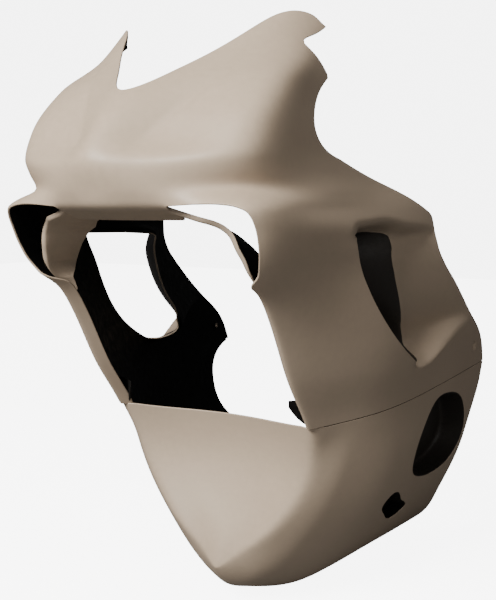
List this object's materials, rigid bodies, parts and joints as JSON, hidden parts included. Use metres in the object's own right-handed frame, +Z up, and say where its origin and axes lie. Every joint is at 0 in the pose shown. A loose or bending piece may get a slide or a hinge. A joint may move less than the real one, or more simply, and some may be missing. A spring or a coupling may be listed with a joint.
{
  "type": "motorcycle fairing",
  "caption": "Unpainted race fairing: upper moulding with nose, intakes and vented sides, and a belly pan with a closed front dam lapped inside it.",
  "frame": {"origin": "middle of the fairing's box, on the motorcycle's centre plane", "axes": "+Z up, -Y to the front of the motorcycle, +X to the rider's left"},
  "size_m": [0.53, 0.7428, 0.8679],
  "materials": {
    "upper_gel_coat": "bare taupe gel-coat with a soft sheen, near-black laminate inside",
    "pan_gel_coat": "bare taupe gel-coat with a soft sheen, near-black laminate inside"
  },
  "bodies": {
    "root": {"upper_fairing": "upper_gel_coat", "belly_pan": "pan_gel_coat"}
  },
  "joints": []
}
